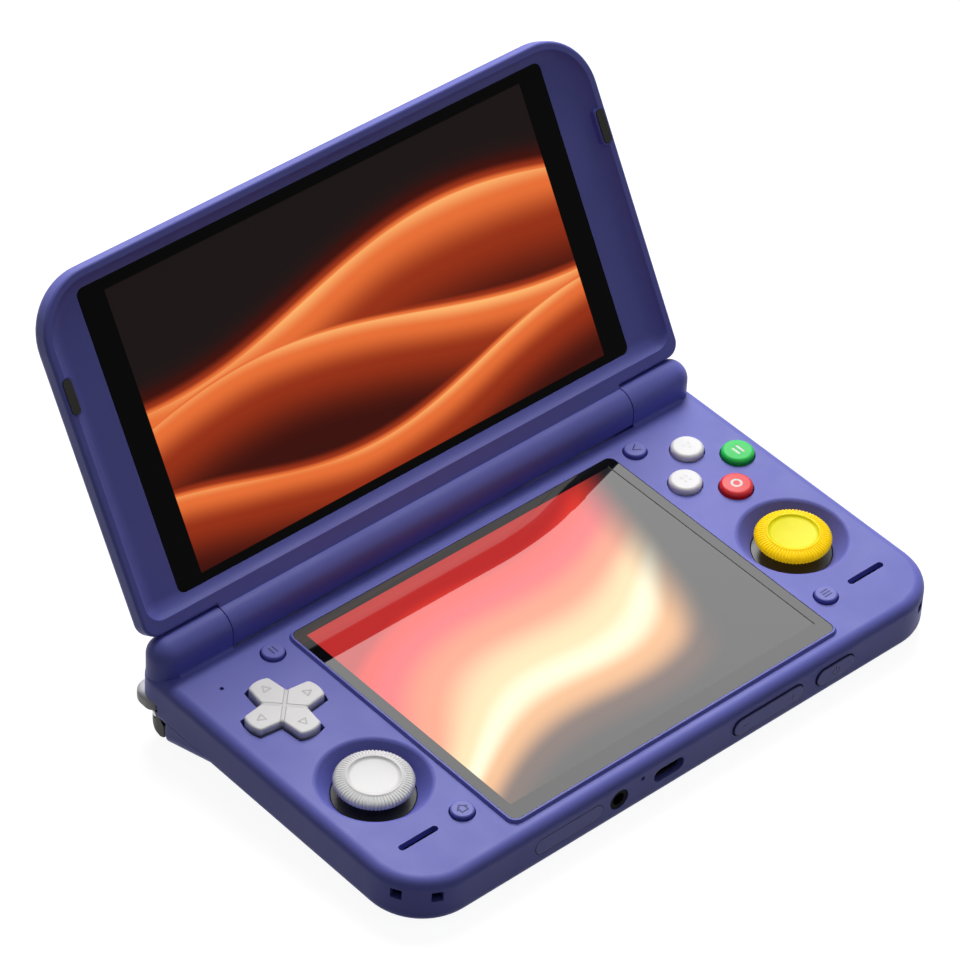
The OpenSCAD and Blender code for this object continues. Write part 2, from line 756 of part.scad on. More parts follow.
module stick_rocker(side) {
  color("#1b1b1d") in_frame() on_side(side) translate([stick_x, stick_y, pivot_z]) {
    difference() {
      sphere(dome_r);
      sphere(dome_r - dome_t);
      translate([-dome_r - 1, -dome_r - 1, dome_rim - 2 * dome_r]) cube([2 * dome_r + 2, 2 * dome_r + 2, 2 * dome_r]);
    }
    translate([0, 0, -1.1]) cylinder(r = post_r, h = cap_top - cap_h - pivot_z + 1.1 + 1.4);
    rod_y(stub_r, -yoke_r + 0.2, yoke_r - 0.2, 0, 0);
  }
}

module stick_cap(side) {
  dish_r = stick_cap_r * 0.62;
  color(side < 0 ? "#e8e8ea" : "#f4c514") in_frame() on_side(side)
    translate([stick_x, stick_y, cap_top - cap_h]) difference() {
      rotate_extrude() edge_profile(stick_cap_r, cap_h, cap_round, cap_round);
      translate([0, 0, cap_h - 0.5]) cylinder(r1 = dish_r - 0.4, r2 = dish_r + 0.2, h = 0.6);
      translate([0, 0, -1]) cylinder(r = post_r + running_gap, h = 1 + 1.4 + click_travel + 0.1);
    }
}

// ---- Direction pad ----

module pad_bracket() {
  color("#707076") in_frame() translate([-column_x, pad_y, board_z]) difference() {
    union() {
      translate([-ear_at - ear_t, -4, 0]) cube([2 * (ear_at + ear_t), 8, 0.6]);
      for (side = [-1, 1]) translate([side * (ear_at + ear_t / 2) - ear_t / 2, -ear_w / 2, 0]) cube([ear_t, ear_w, 2.9]);
    }
    rod_x(pin_r + running_gap, -ear_at - 2, ear_at + 2, 0, pad_pivot_z - board_z);
  }
}

module pad_pivot() {
  reach = ear_at + ear_t;
  color("#b8b8bd") in_frame() translate([-column_x, pad_y, pad_pivot_z]) {
    rod_x(pin_r, -reach, reach, 0, 0);
    rod_y(pin_r, -reach, reach, 0, 0);
    cube([2.4, 2.4, 2.4], center = true);
  }
}

module direction_pad() {
  groove = 0.5;
  color("#e4e4e6") in_frame() translate([-column_x, pad_y, 0]) difference() {
    union() {
      translate([0, 0, pad_flange_top]) linear_extrude(pad_top - pad_flange_top) pad_outline(0);
      translate([0, 0, pad_flange_top - key_flange_h]) linear_extrude(key_flange_h) pad_outline(pad_gap + 0.5);
      for (side = [-1, 1]) translate([-ear_w / 2, side * (ear_at + ear_t / 2) - ear_t / 2, pad_pivot_z - 1.1])
        cube([ear_w, ear_t, 4]);
    }
    rod_y(pin_r + running_gap, -ear_at - 2, ear_at + 2, 0, pad_pivot_z);
    for (turn = [45, 135]) rotate(turn) translate([-20, -groove / 2, pad_top - 0.25]) cube([40, groove, 1]);
  }
}

// ---- Buttons ----

module face_button(turn, tint) {
  color(tint) in_frame() translate([column_x, pad_y, 0]) rotate(turn) translate([face_pitch, 0, 0]) {
    translate([0, 0, face_foot]) rotate_extrude() edge_profile(face_r, face_top - face_foot, 1, 0);
    translate([0, 0, inner_top - key_flange_h]) cylinder(r = face_r + key_flange, h = key_flange_h);
  }
}

module face_membrane() {
  color("#4c4c50") in_frame() {
    translate([column_x - 12.5, pad_y - 12.5, board_z]) cube([25, 25, 0.8]);
    for (turn = [0:90:270]) translate([column_x, pad_y, board_z]) rotate(turn) translate([face_pitch, 0, 0])
      cylinder(r1 = 3.6, r2 = 2.4, h = face_foot - face_travel - 0.2 - board_z);
    for (turn = [0:90:270]) translate([-column_x, pad_y, board_z]) rotate(turn) translate([8, 0, 0])
      cylinder(r1 = 2.6, r2 = 1.8, h = 2.2);
  }
}

module system_button(side, y) {
  color(indigo) in_frame() on_side(side) translate([system_x, y, 0]) {
    translate([0, 0, inner_top - key_flange_h])
      rotate_extrude() edge_profile(system_r, system_top - inner_top + key_flange_h, 0.5, 0);
    translate([0, 0, inner_top - key_flange_h]) cylinder(r = system_r + 0.7, h = key_flange_h);
    translate([0, 0, system_foot]) cylinder(r = 1.4, h = 3);
  }
}

// Boards under the pad, the face buttons and the system buttons, on standoffs
module key_boards() {
  switch_top = system_foot - system_travel - 0.1;
  color("#1f4d35") in_frame() both_sides() {
    translate([column_x - 13.5, pad_y - 12.5, board_z - board_t]) cube([27, 31.5 - wall_t, board_t]);
    translate([system_x - 4, system_front_y - 4, board_z - board_t]) cube([8, 8, board_t]);
    translate([system_x, system_front_y, floor_z]) cylinder(r = 1.5, h = board_z - floor_z);
    for (y = [system_front_y, system_rear_y]) translate([system_x - 2, y - 2, board_z]) cube([4, 4, switch_top - board_z]);
    for (x = [-10, 10], y = [-10, 15]) translate([column_x + x, pad_y + y, floor_z]) cylinder(r = 1.5, h = board_z - floor_z);
  }
}

// Key in the front wall with a flange behind it, clear of the wall by a gap
module wall_key(x, length, gap) {
  translate([0, -key_proud, 0]) wall_pill(x, length, key_h, key_proud + wall_t + gap + 0.1);
  translate([0, wall_t + gap, 0]) wall_pill(x, length + 2 * key_flange, key_h + 2 * key_flange, key_flange_t);
}

module power_button() {
  color(indigo) in_frame() wall_key(power_x, power_len, 0.15);
}

module volume_rocker() {
  color(indigo) in_frame() wall_key(volume_x, volume_len, rocker_gap);
}

// Board on the floor with a switch behind each press point of the front keys
module front_key_board() {
  board_y = wall_t + rocker_gap + key_flange_t + 1;
  color("#1f4d35") in_frame() {
    translate([10, board_y, floor_z]) cube([48, 0.8, 8]);
    for (x = [volume_x - 8, volume_x + 8, power_x])
      translate([x - 1.5, board_y - 0.6, port_z - 1.5]) cube([3, 0.7, 3]);
  }
}

// ---- Shoulders ----

module bumper(side) {
  color("#e4e4e6") in_frame() on_side(side) difference() {
    union() {
      translate([half_w - shoulder_w / 2 + 0.3, bumper_y, bumper_z0])
        soft_slab(shoulder_w, bumper_d, bumper_h, 2.6, bumper_d / 2, 1.2, 1.2);
      translate([half_w - shoulder_w + 6, bumper_y, bumper_z0]) soft_slab(12, bumper_d, bumper_h, 1.7, 1.7, 1.2, 1.2);
      translate([lug_x, lug_y, lug_z0]) cylinder(r = 2, h = pocket_top - 0.3 - lug_z0);
      translate([lug_x, lug_y - 1, lug_z0]) cube([8, 2, pocket_top - 0.3 - lug_z0]);
    }
    translate([lug_x, lug_y, bumper_z0]) cylinder(r = shoulder_pin_r + running_gap, h = 10);
  }
}

module trigger(side) {
  rear = 4.2;
  end = trigger_end;
  color("#232327") in_frame() on_side(side) difference() {
    intersection() {
      along_x(end - trigger_len, end) translate([trigger_hub_y, trigger_hub_z]) {
        polygon([[-1.6, trigger_hub_r], [rear - 1, trigger_hub_r], [rear, trigger_hub_r - 1], [4, -1.2],
                 [2.2, -3], [-0.4, -4.6], [-2.8, -5.2], [-4.2, -4.6], [-4, -1]]);
      }
      translate([end - trigger_len / 2, trigger_hub_y + rear - 30, trigger_hub_z - 10])
        linear_extrude(20) round_rect(trigger_len, 30, 6);
    }
    rod_x(shoulder_pin_r + running_gap, 0, 2 * body_w, trigger_hub_y, trigger_hub_z);
  }
}

// Hinge pins of the bumpers and triggers
module shoulder_pins() {
  color("#b8b8bd") in_frame() both_sides() {
    rod_x(shoulder_pin_r, pocket_x - 5, half_w - 2, trigger_hub_y, trigger_hub_z);
    translate([lug_x, lug_y, floor_z]) cylinder(r = shoulder_pin_r, h = pocket_top - floor_z);
  }
}

module trigger_springs() {
  color("#8c8c92") in_frame() both_sides() difference() {
    rod_x(1.6, pocket_x + 0.3, trigger_end - trigger_len - 0.3, trigger_hub_y, trigger_hub_z);
    rod_x(shoulder_pin_r, 0, 2 * body_w, trigger_hub_y, trigger_hub_z);
  }
}

module shoulder_boards() {
  color("#1f4d35") in_frame() both_sides() {
    translate([half_w - 22, pocket_y, bumper_z0]) cube([16, 0.5, bumper_h]);
    translate([half_w - 16, pocket_y + 0.4, bumper_z0 + 0.7]) cube([4, 0.4, bumper_h - 1.4]);
  }
}

// ---- Hinge ----

module hinge_shafts() {
  color("#9a9aa0") in_frame() both_sides() difference() {
    rod_x(shaft_r, barrel_half - 9, barrel_half + barrel_gap + 10, hinge_y, hinge_z);
    rod_x(0.9, barrel_half - 10, barrel_half + 20, hinge_y, hinge_z);
  }
}

module display_ribbon() {
  color("#8a5a28") in_frame() rod_x(0.8, -barrel_half - 12, -barrel_half + 12, hinge_y, hinge_z);
}

module hinge_bushes() {
  color("#b08d57") in_frame() both_sides() difference() {
    rod_x(3, barrel_half - 8, barrel_half - 0.4, hinge_y, hinge_z);
    rod_x(shaft_r + running_gap, barrel_half - 9, barrel_half, hinge_y, hinge_z);
  }
}

// ---- Lid ----

module lid_pad_boss(margin, z0, z1) {
  length = pad_len + 2 * margin;
  both_sides() translate([pad_x_lid, pad_at - length / 2, z0]) linear_extrude(z1 - z0)
    round_rect(pad_w + 2 * margin, length, pad_corner + margin);
}

module lid_front_shell() {
  frame_t = 1.8;
  frame_in = cover_wall + 0.15;
  color(indigo) difference() {
    union() {
      on_lid() difference() {
        translate([0, lid_y0, lid_seam_z])
          soft_slab(lid_w, lid_len - lid_y0, lid_rim_z - lid_seam_z, lid_near_r, lid_corner_r, lid_rim_round, 0);
        translate([0, lid_y0 + rim_near_w, lid_face_z])
          soft_slab(lid_w - 2 * rim_w, lid_len - lid_y0 - rim_near_w - rim_w, 10,
                    rim_fillet + 0.2, lid_corner_r - rim_w, 0, rim_fillet);
      }
      on_lid() translate([0, lid_y0 + frame_in + 2.4, lid_face_z - frame_t])
        soft_slab(lid_w - 2 * frame_in, lid_len - lid_y0 - 2 * frame_in - 2.4, frame_t,
                  lid_near_r - frame_in, lid_corner_r - frame_in, 0, 0);
      on_lid() lid_pad_boss(0.6, lid_seam_z, lid_rim_z);
      on_lid() translate([-barrel_half, 0, lid_back_z + 0.2])
        cube([barrel_len, lid_y0 + 1.6, lid_rim_z - lid_back_z - 0.2]);
      in_frame() along_x(-barrel_half, barrel_half) translate([hinge_y, hinge_z]) barrel_profile();
    }
    on_lid() {
      translate([0, upper_glass_y - fit_gap, lid_face_z - glass_t]) linear_extrude(20)
        round_rect(upper_glass_w + 2 * fit_gap, upper_glass_d + 2 * fit_gap, glass_corner + fit_gap);
      translate([0, upper_glass_y + glass_border - 0.2, lid_back_z + 0.1]) linear_extrude(20)
        round_rect(upper_glass_w - 2 * glass_border + 0.4, upper_glass_d - 2 * glass_border + 0.4, 1);
      lid_pad_boss(fit_gap, lid_rim_z - 1, lid_rim_z + 5);
      both_sides() translate([pad_x_lid, pad_at, lid_face_z - 3]) cylinder(r = 0.9, h = 10);
    }
    in_frame() both_sides() rod_x(3, barrel_half - 14, barrel_half + 1, hinge_y, hinge_z);
  }
}

module lid_back_cover() {
  cover_h = lid_seam_z - lid_back_z;
  color(indigo) on_lid() difference() {
    translate([0, lid_y0, lid_back_z])
      soft_slab(lid_w, lid_len - lid_y0, cover_h, lid_near_r, lid_corner_r, 0, lid_back_round);
    translate([0, lid_y0 + cover_wall + 2.4, lid_back_z + lid_skin])
      soft_slab(lid_w - 2 * cover_wall, lid_len - lid_y0 - 2 * cover_wall - 2.4, 10,
                lid_near_r - cover_wall, lid_corner_r - cover_wall, 0, 0);
    translate([-barrel_half - 0.1, lid_y0 - 1, lid_back_z - 1])
      cube([barrel_len + 0.2, 2.7, 10]);
  }
}

module lid_screws() {
  color("#3a3a3e") on_lid() both_sides() translate([pad_x_lid, pad_at, 0]) {
    translate([0, 0, lid_seam_z + 0.1]) cylinder(r = 0.9, h = lid_rim_z - 1.2 - lid_seam_z);
    translate([0, 0, lid_back_z + lid_skin]) cylinder(r = 0.5, h = lid_rim_z - 1.2 - lid_back_z - lid_skin);
  }
}

module upper_glass() {
  color("#050506") on_lid() translate([0, upper_glass_y, lid_face_z - glass_t])
    linear_extrude(glass_t) round_rect(upper_glass_w, upper_glass_d, glass_corner);
}

module upper_display() {
  color("#15151a") on_lid() translate([0, upper_glass_y + glass_border, lid_face_z - glass_t - panel_t])
    linear_extrude(panel_t) round_rect(upper_glass_w - 2 * glass_border, upper_glass_d - 2 * glass_border, 0.8);
}

module lid_board() {
  color("#1f4d35") on_lid() translate([upper_glass_w / 2 + 1.5, 24, lid_back_z + lid_skin])
    cube([8, 34, 0.6]);
}

module lid_pads() {
  color("#1c1c1e") on_lid() lid_pad_boss(0, lid_rim_z - 1, lid_rim_z + pad_proud);
}

// ---- What is drawn ----

base_top_shell();
knuckle_tops();
base_bottom_shell();
base_screws();
rubber_feet();
lower_glass();
lower_display();
main_board();
heat_sink();
fan_housing();
fan_rotor();
battery();
port_board();
headphone_socket();
usb_socket();
card_reader();
card_door();
speaker(-1);  // speaker_left
speaker(1);  // speaker_right
stick_housing(-1);  // stick_housing_left
stick_housing(1);  // stick_housing_right
stick_yoke(-1);  // stick_yoke_left
stick_yoke(1);  // stick_yoke_right
stick_rocker(-1);  // stick_rocker_left
stick_rocker(1);  // stick_rocker_right
stick_cap(-1);  // stick_cap_left
stick_cap(1);  // stick_cap_right
pad_bracket();
pad_pivot();
direction_pad();
face_button(90, "#e8e8ea");  // face_button_back
face_button(180, "#e8e8ea");  // face_button_left
face_button(0, "#2fbf5a");  // face_button_right
face_button(270, "#d9292b");  // face_button_front
face_membrane();
system_button(-1, system_rear_y);  // system_button_back_left
system_button(1, system_rear_y);  // system_button_back_right
system_button(-1, system_front_y);  // system_button_front_left
system_button(1, system_front_y);  // system_button_front_right
key_boards();
power_button();
volume_rocker();
front_key_board();
bumper(-1);  // bumper_left
bumper(1);  // bumper_right
trigger(-1);  // trigger_left
trigger(1);  // trigger_right
shoulder_pins();
trigger_springs();
shoulder_boards();
hinge_shafts();
display_ribbon();
lid_front_shell();
lid_back_cover();
lid_screws();
upper_glass();
upper_display();
lid_board();
lid_pads();
hinge_bushes();
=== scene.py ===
import math

import bmesh
import bpy
from mathutils import Matrix, Vector


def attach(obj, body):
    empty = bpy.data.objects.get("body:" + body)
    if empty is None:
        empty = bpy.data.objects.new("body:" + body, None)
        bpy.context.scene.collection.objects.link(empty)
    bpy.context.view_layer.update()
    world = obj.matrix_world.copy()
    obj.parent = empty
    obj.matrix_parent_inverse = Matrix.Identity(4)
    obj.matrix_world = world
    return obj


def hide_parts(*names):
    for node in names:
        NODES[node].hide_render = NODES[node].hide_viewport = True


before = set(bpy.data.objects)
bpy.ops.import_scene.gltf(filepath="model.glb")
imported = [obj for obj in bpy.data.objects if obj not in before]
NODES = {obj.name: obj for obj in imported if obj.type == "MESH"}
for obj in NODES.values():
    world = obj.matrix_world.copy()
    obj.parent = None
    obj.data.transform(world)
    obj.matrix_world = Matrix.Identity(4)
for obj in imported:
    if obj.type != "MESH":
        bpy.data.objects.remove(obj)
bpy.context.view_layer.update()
MM = 0.001

# Sizes repeated from the CAD part, in metres
DECK_Z = 0.0132
FRONT_Y = -0.0532
STICK_X = 0.07025
STICK_Y = FRONT_Y + 0.0377
COLUMN_X = 0.07175
PAD_Y = FRONT_Y + 0.0697
FACE_PITCH = 0.0093
SYSTEM_X = 0.0609
SYSTEM_Y = {"front": FRONT_Y + 0.0161, "back": FRONT_Y + 0.0872}
PORT_Z = 0.0066
CARD_X = -0.0403
VOLUME_X = 0.026
POWER_X = 0.0491
HINGE = Vector((0, 0.0469, 0.0174))
OPEN = math.radians(60)
LID_UP = Vector((0, math.cos(OPEN), math.sin(OPEN)))


# ---------------------------------------------------------------- node graphs
class Graph:
    """A material's node tree, built with short calls."""

    def __init__(self, name):
        self.material = bpy.data.materials.new(name)
        self.material.use_nodes = True
        self.tree = self.material.node_tree
        self.tree.nodes.clear()
        self.out = self.tree.nodes.new("ShaderNodeOutputMaterial")
        self.coord = self.tree.nodes.new("ShaderNodeTexCoord").outputs["Object"]

    def put(self, socket, value):
        if isinstance(value, bpy.types.NodeSocket):
            self.tree.links.new(value, socket)
        else:
            socket.default_value = value

    def add(self, kind, values=(), output=0, **settings):
        node = self.tree.nodes.new("ShaderNode" + kind)
        for key, value in settings.items():
            setattr(node, key, value)
        for key, value in dict(values).items():
            self.put(node.inputs[key], value)
        return node.outputs[output]

    def math(self, operation, a, b=0.0, c=0.0, clamp=False):
        return self.add("Math", {0: a, 1: b, 2: c}, operation=operation, use_clamp=clamp)

    def vector(self, operation, a, b=(0, 0, 0), output=0):
        return self.add("VectorMath", {0: a, 1: b}, output, operation=operation)

    def dot(self, a, b):
        return self.vector("DOT_PRODUCT", a, b, 1)

    def length(self, a):
        return self.vector("LENGTH", a, output=1)

    def noise(self, scale, detail=2.0, rough=0.5, at=None):
        return self.add("TexNoise", {"Vector": at or self.coord, "Scale": scale, "Detail": detail,
                                     "Roughness": rough}, "Fac")

    def spread(self, value, low, high, to_low, to_high, smooth=False):
        kind = "SMOOTHSTEP" if smooth else "LINEAR"
        return self.add("MapRange", {"Value": value, "From Min": low, "From Max": high, "To Min": to_low,
                                     "To Max": to_high}, interpolation_type=kind)

    def mix(self, factor, a, b):
        node = self.tree.nodes.new("ShaderNodeMix")
        node.data_type = "RGBA"
        self.put(node.inputs[0], factor)
        self.put(node.inputs[6], rgba(a))
        self.put(node.inputs[7], rgba(b))
        return node.outputs[2]

    def ramp(self, value, stops):
        node = self.tree.nodes.new("ShaderNodeValToRGB")
        node.color_ramp.interpolation = "EASE"
        while len(node.color_ramp.elements) < len(stops):
            node.color_ramp.elements.new(0.5)
        for element, (place, colour) in zip(node.color_ramp.elements, stops):
            element.position = place
            element.color = rgba(colour)
        self.put(node.inputs[0], value)
        return node.outputs[0]

    def bump(self, height, distance, strength=1.0, normal=None):
        values = {"Height": height, "Distance": distance, "Strength": strength}
        if normal is not None:
            values["Normal"] = normal
        return self.add("Bump", values, "Normal")

    def surface(self, values):
        node = self.tree.nodes.new("ShaderNodeBsdfPrincipled")
        for key, value in values.items():
            self.put(node.inputs[key], value)
        self.tree.links.new(node.outputs[0], self.out.inputs[0])
        return self.material


def rgba(colour):
    if isinstance(colour, bpy.types.NodeSocket):
        return colour
    return (*colour, 1.0) if len(colour) == 3 else colour


class Marks:
    """Plain symbols engraved in a face, and dark engraved lines round a key's edge that are painted shade. Strokes
    are given in millimetres in the plane of the key.
    """

    def __init__(self, graph, centre, right, up):
        self.g = graph
        offset = graph.vector("SUBTRACT", graph.coord, centre)
        self.p = graph.add("CombineXYZ", {0: graph.dot(offset, right), 1: graph.dot(offset, up)})
        self.best = None

    def join(self, distance):
        """Keeps the distance, in metres, to the nearest stroke so far."""
        self.best = distance if self.best is None else self.g.math("MINIMUM", self.best, distance)

    def line(self, a, b):
        a, b = Vector((*a, 0)) * MM, Vector((*b, 0)) * MM
        span = b - a
        away = self.g.vector("SUBTRACT", self.p, a)
        share = self.g.math("MULTIPLY", self.g.dot(away, span), 1 / span.length_squared, clamp=True)
        near = self.g.vector("SCALE", tuple(span))
        self.g.put(near.node.inputs["Scale"], share)
        self.join(self.g.length(self.g.vector("SUBTRACT", away, near)))

    def path(self, *points):
        for a, b in zip(points, points[1:]):
            self.line(a, b)

    def ring(self, centre, radius):
        away = self.g.vector("SUBTRACT", self.p, tuple(Vector((*centre, 0)) * MM))
        self.join(self.g.math("ABSOLUTE", self.g.math("SUBTRACT", self.g.length(away), radius * MM)))

    def arc(self, centre, radius, start, stop, steps=8):
        turns = [math.radians(start + (stop - start) * i / steps) for i in range(steps + 1)]
        self.path(*[(centre[0] + radius * math.cos(t), centre[1] + radius * math.sin(t)) for t in turns])

    def pill(self, half_length, radius):
        """Outline of a rounded bar lying across the middle."""
        across = self.g.math("ABSOLUTE", self.g.dot(self.p, (1, 0, 0)))
        past = self.g.math("MAXIMUM", self.g.math("SUBTRACT", across, (half_length - radius) * MM), 0.0)
        away = self.g.length(self.g.add("CombineXYZ", {0: past, 1: self.g.dot(self.p, (0, 1, 0))}))
        self.join(self.g.math("ABSOLUTE", self.g.math("SUBTRACT", away, radius * MM)))

    def dot(self, centre):
        away = self.g.vector("SUBTRACT", self.p, tuple(Vector((*centre, 0)) * MM))
        self.join(self.g.length(away))

    def channel(self, reach, half):
        """Depth of two crossing diagonal channels with sloping sides."""
        depth = 0.0
        for way in ((0.70710678, 0.70710678, 0), (0.70710678, -0.70710678, 0)):
            off = self.g.math("ABSOLUTE", self.g.dot(self.p, way))
            side = self.g.spread(off, (half - reach) * MM, half * MM, 1.0, 0.0, smooth=True)
            depth = self.g.math("MAXIMUM", depth, side)
        return depth

    def mask(self, width, soft=0.08):
        return self.g.spread(self.best, (width - soft) * MM, (width + soft) * MM, 1.0, 0.0, smooth=True)


def moulded(name, colour, rough=0.5, grain=0.02, shade=0.05, specular=0.2, marks=None, mark_colour=None,
            mark_depth=0.12, mark_width=0.2, bleed=0.0, channel=False, sheen=(1, 1, 1), depths=(1, 1, 1),
            glow=0.0):
    """Injection-moulded plastic: spark-eroded grain, slow colour drift, faint rubbed patches."""
    g = Graph(name)
    drift = g.noise(28, 3, 0.55)
    fine = g.noise(2600, 2, 0.6)
    rub = g.noise(75, 4, 0.62)
    dark = tuple(c * (1 - shade) for c in colour)
    light = tuple(min(1.0, c * (1 + shade) + 0.003) for c in colour)
    base = g.mix(g.spread(drift, 0.3, 0.7, 0, 1), dark, light)
    base = g.mix(g.spread(fine, 0.3, 0.75, 0, 0.22), base, dark)
    roughness = g.spread(rub, 0.3, 0.75, rough + 0.05, rough - 0.05)
    normal = g.bump(fine, grain * MM, 1.0)
    if marks is not None:
        art = Marks(g, *marks[0])
        marks[1](art)
        mask = art.mask(mark_width)
        tint = mark_colour or tuple(c * 0.3 for c in colour)
        base = g.mix(mask, base, tint)
        normal = g.bump(g.math("MULTIPLY", mask, -1.0), mark_depth * MM, 1.0, normal)
        if channel:
            depth = art.channel(0.22, 0.6)
            # Painted shade: the channels are also darkened towards grey, as if shaded, besides their bump.
            base = g.mix(g.math("MULTIPLY", depth, 0.12), base, (0.3, 0.3, 0.32))
            normal = g.bump(g.math("MULTIPLY", depth, -1.0), 0.35 * MM, 1.0, normal)
    # A glow above zero is painted light: the surface gives out its own colour, as if more light fell on it.
    return g.surface({"Base Color": base, "Roughness": roughness, "Normal": normal,
                      "Specular IOR Level": specular, "Specular Tint": rgba(sheen),
                      "Subsurface Weight": bleed, "Subsurface Radius": depths, "Subsurface Scale": 1.5 * MM,
                      "Emission Color": base, "Emission Strength": glow})


def metal(name, colour, rough=0.3, lines=(900, 60, 60)):
    """Drawn or stamped metal with fine directional scratches and tarnish."""
    g = Graph(name)
    stretched = g.vector("MULTIPLY", g.coord, lines)
    streak = g.noise(1.0, 3, 0.6, stretched)
    stain = g.noise(160, 3, 0.6)
    base = g.mix(g.spread(stain, 0.35, 0.75, 0, 0.5), colour, tuple(c * 0.75 for c in colour))
    return g.surface({"Base Color": base, "Metallic": 1.0,
                      "Roughness": g.spread(streak, 0.3, 0.7, rough - 0.06, rough + 0.1),
                      "Normal": g.bump(streak, 0.004 * MM)})


def rubber(name, colour):
    """Soft rubber with a dusty, finely pitted skin."""
    g = Graph(name)
    pits = g.noise(1800, 3, 0.7)
    dust = g.noise(90, 3, 0.6)
    base = g.mix(g.spread(dust, 0.35, 0.75, 0, 0.5), colour, tuple(c * 1.5 + 0.01 for c in colour))
    return g.surface({"Base Color": base, "Roughness": g.spread(dust, 0.3, 0.7, 0.68, 0.8),
                      "Normal": g.bump(pits, 0.03 * MM), "Specular IOR Level": 0.35})


def board(name):
    """Green solder mask with copper tracks under it."""
    g = Graph(name)
    turned = g.add("Mapping", {"Vector": g.coord, "Rotation": (0, 0, 0.785), "Scale": (700, 700, 1)})
    tracks = g.add("TexWave", {"Vector": g.coord, "Scale": 260.0, "Distortion": 6.0, "Detail": 1.0}, "Fac")
    cells = g.add("TexVoronoi", {"Vector": turned, "Scale": 0.35}, "Distance")
    mask = g.math("MULTIPLY", g.spread(tracks, 0.55, 0.6, 0, 1), g.spread(cells, 0.2, 0.3, 0, 1))
    base = g.mix(mask, (0.010, 0.085, 0.035), (0.03, 0.17, 0.07))
    return g.surface({"Base Color": base, "Roughness": g.spread(g.noise(300), 0.3, 0.7, 0.3, 0.45),
                      "Normal": g.bump(mask, 0.03 * MM)})


# ---------------------------------------------------------------- screens
UPPER_HALF = (0.0673, 0.03795)
UPPER_MIDDLE = 0.05195
LOWER_HALF = (0.0508, 0.0381)
LOWER_MIDDLE = 0.0482


def layer(g, across, up, height, swing, pace, phase, fall, halo):
    """One soft ridge of light: bright along its crest, fading below it and glowing a little above."""
    wave = g.math("SINE", g.math("MULTIPLY_ADD", across, pace, phase))
    crest = g.math("MULTIPLY_ADD", wave, swing, height)
    rise = g.math("SUBTRACT", up, crest)
    under = g.math("EXPONENT", g.math("MULTIPLY", g.math("MINIMUM", rise, 0.0), 1 / fall))
    over = g.math("EXPONENT", g.math("MULTIPLY", g.math("MAXIMUM", rise, 0.0), -1 / halo))
    cover = g.spread(rise, -0.012, 0.012, 1.0, 0.0, smooth=True)
    return g.math("MULTIPLY", under, over), cover


def stack(g, layers):
    """Later ridges stand in front of earlier ones."""
    total = None
    for glow, cover in layers:
        if total is None:
            total = glow
            continue
        behind = g.math("MULTIPLY", total, g.math("MULTIPLY_ADD", cover, -0.86, 1.0))
        total = g.math("MAXIMUM", behind, glow)
    return total


def panel_masks(g, across, along, half_w, half_h):
    """Lit area, and the thin dark seam along its right edge."""
    past = g.math("MAXIMUM", g.math("SUBTRACT", g.math("ABSOLUTE", across), half_w),
                  g.math("SUBTRACT", g.math("ABSOLUTE", along), half_h))
    active = g.spread(past, -0.00006, 0.00006, 1.0, 0.0)
    rim = g.math("ABSOLUTE", g.math("SUBTRACT", across, half_w))
    seam = g.math("MULTIPLY", g.spread(rim, 0.00008, 0.0002, 1.0, 0.0), g.spread(past, 0.0002, 0.0004, 1.0, 0.0))
    return active, seam


def screen(name, art, specular, rough, back_light):
    """Bonded cover glass with a black border in front of a lit panel."""
    g = Graph(name)
    colour, active, seam = art(g)
    smears = g.spread(g.noise(46, 4, 0.65), 0.3, 0.75, rough, rough * 2)
    glow = g.mix(active, (0, 0, 0), g.add("MixRGB", {"Fac": 1.0, "Color1": colour, "Color2": rgba(back_light)},
                                         blend_type="ADD"))
    return g.surface({"Base Color": g.mix(active, (0.004, 0.004, 0.004), (0.010, 0.009, 0.009)),
                      "Roughness": g.math("MAXIMUM", smears, g.math("MULTIPLY", seam, 0.8)),
                      "Normal": g.bump(g.noise(30, 1), 0.0005 * MM), "Specular IOR Level": specular,
                      "Emission Color": glow, "Emission Strength": 1.0})


def upper_art(g):
    """Three overlapping ridges of amber light on a dark ground."""
    across = g.dot(g.coord, (1, 0, 0))
    height = g.dot(g.vector("SUBTRACT", g.coord, tuple(HINGE)), tuple(LID_UP))
    centre = g.math("SUBTRACT", height, UPPER_MIDDLE)
    half_w, half_h = UPPER_HALF
    active, seam = panel_masks(g, across, centre, half_w, half_h)
    u = g.math("MULTIPLY", across, 1 / half_w)
    v = g.math("MULTIPLY_ADD", centre, 0.5 / half_h, 0.5)
    value = stack(g, [layer(g, u, v, 0.66, 0.10, 2.3, 0.5, 0.26, 0.035),
                      layer(g, u, v, 0.44, 0.12, 2.0, 2.6, 0.20, 0.03),
                      layer(g, u, v, 0.20, 0.09, 2.7, 5.0, 0.17, 0.03)])
    sheen = g.spread(g.noise(9, 2, 0.4), 0.3, 0.7, 0.72, 1.0)
    colour = g.ramp(g.math("MULTIPLY", value, sheen),
                    [(0.0, (0.0095, 0.0055, 0.0055)), (0.18, (0.045, 0.003, 0.001)), (0.45, (0.30, 0.028, 0.006)),
                     (0.75, (0.80, 0.16, 0.035)), (1.0, (1.0, 0.48, 0.16))])
    return colour, active, seam


